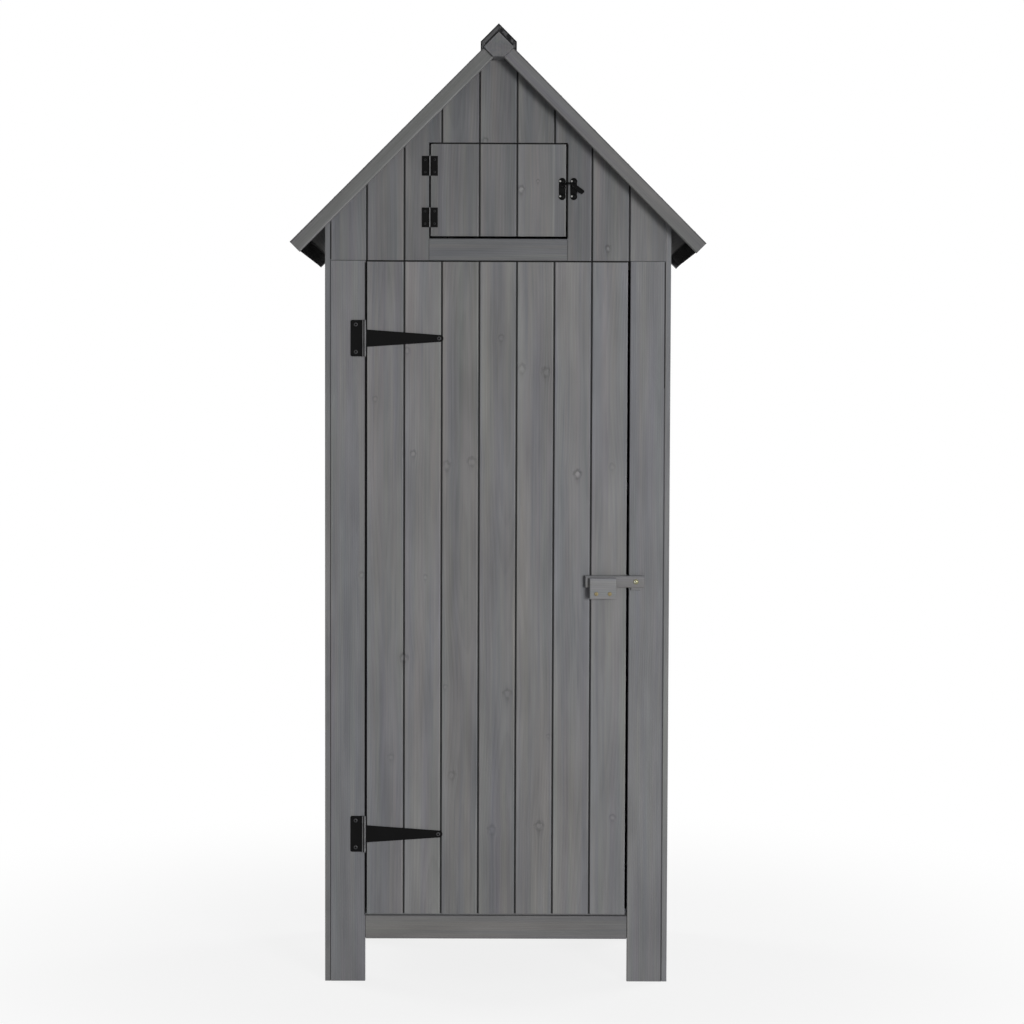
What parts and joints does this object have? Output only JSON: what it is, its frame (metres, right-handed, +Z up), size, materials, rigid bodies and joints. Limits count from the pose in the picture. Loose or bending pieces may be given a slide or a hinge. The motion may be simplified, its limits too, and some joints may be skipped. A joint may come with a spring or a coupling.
{
  "type": "garden shed",
  "caption": "Narrow timber garden shed with a steep felted roof, a boarded door on T-hinges and a small loft door",
  "frame": {"origin": "on the ground under the middle of the shed's box", "axes": "+Z is up, the front with the doors faces -Y, +X is to the right of someone who looks at the front"},
  "size_m": [0.77, 0.542, 1.79],
  "materials": {
    "cladding_timber": "grey stained fir boards",
    "frame_timber": "grey stained planed fir",
    "trim_timber": "grey stained fir with eased edges",
    "mineral_felt": "black mineral roofing felt",
    "black_iron": "black powder coat",
    "zinc_steel": "zinc plated steel",
    "yellow_zinc": "yellow zinc plated screw heads"
  },
  "bodies": {
    "shed": {"front_stile_left": "cladding_timber", "front_stile_right": "cladding_timber", "front_bottom_rail": "cladding_timber", "gable_boards_left": "cladding_timber", "gable_boards_middle": "cladding_timber", "gable_boards_right": "cladding_timber", "loft_sill": "cladding_timber", "left_side_boards": "cladding_timber", "right_side_boards": "cladding_timber", "back_boards": "cladding_timber", "turn_bar_spacer": "cladding_timber", "corner_posts": "frame_timber", "side_plates": "frame_timber", "loft_beams": "frame_timber", "loft_lintel": "frame_timber", "gable_rafters": "frame_timber", "floor_frame": "frame_timber", "floor_boards": "frame_timber", "loft_floor": "frame_timber", "lower_shelf": "frame_timber", "upper_shelf": "frame_timber", "shelf_battens": "frame_timber", "roof_deck_left": "frame_timber", "roof_deck_right": "frame_timber", "barge_board_front_left": "trim_timber", "barge_board_front_right": "trim_timber", "barge_board_back_left": "trim_timber", "barge_board_back_right": "trim_timber", "ridge_beam": "trim_timber", "roof_felt_left": "mineral_felt", "roof_felt_right": "mineral_felt", "ridge_cap": "mineral_felt", "lower_hinge_plate": "black_iron", "upper_hinge_plate": "black_iron", "loft_hinge_jamb_leaves": "black_iron", "loft_latch_plate": "black_iron", "loft_jamb_screws": "black_iron", "loft_latch_screws": "black_iron", "hinge_pins": "zinc_steel", "hinge_plate_screws": "zinc_steel", "loft_hinge_pins": "zinc_steel", "turn_bar_screw": "yellow_zinc"},
    "door": {"door_boards": "cladding_timber", "keeper_seat": "cladding_timber", "keeper_plate": "cladding_timber", "door_ledge_bottom": "frame_timber", "door_ledge_middle": "frame_timber", "door_ledge_top": "frame_timber", "lower_hinge_strap": "black_iron", "upper_hinge_strap": "black_iron", "hinge_strap_screws": "zinc_steel", "keeper_screws": "yellow_zinc"},
    "loft_door": {"loft_door_boards": "cladding_timber", "loft_door_ledges": "frame_timber", "loft_hinge_door_leaves": "black_iron", "loft_leaf_screws": "black_iron", "loft_catch_plate": "black_iron", "loft_catch_screws": "black_iron"},
    "latch_bar": {"turn_bar": "cladding_timber"},
    "latch_hook": {"loft_hook": "black_iron"}
  },
  "joints": [
    {"name": "door_swing", "type": "hinge", "parent": "shed", "child": "door", "pos_m": [-0.2497, -0.2239, 0.74], "axis": [0, 0, -1], "range_deg": [0, 170]},
    {"name": "loft_door_swing", "type": "hinge", "parent": "shed", "child": "loft_door", "pos_m": [-0.1275, -0.2224, 1.488], "axis": [0, 0, -1], "range_deg": [0, 110]},
    {"name": "turn_bar_turn", "type": "hinge", "parent": "shed", "child": "latch_bar", "pos_m": [0.26, -0.2285, 0.7595], "axis": [0, 1, 0], "range_deg": [0, 180]},
    {"name": "loft_hook_turn", "type": "hinge", "parent": "shed", "child": "latch_hook", "pos_m": [0.1425, -0.226, 1.49552], "axis": [0, 1, 0], "range_deg": [0, 90]}
  ]
}
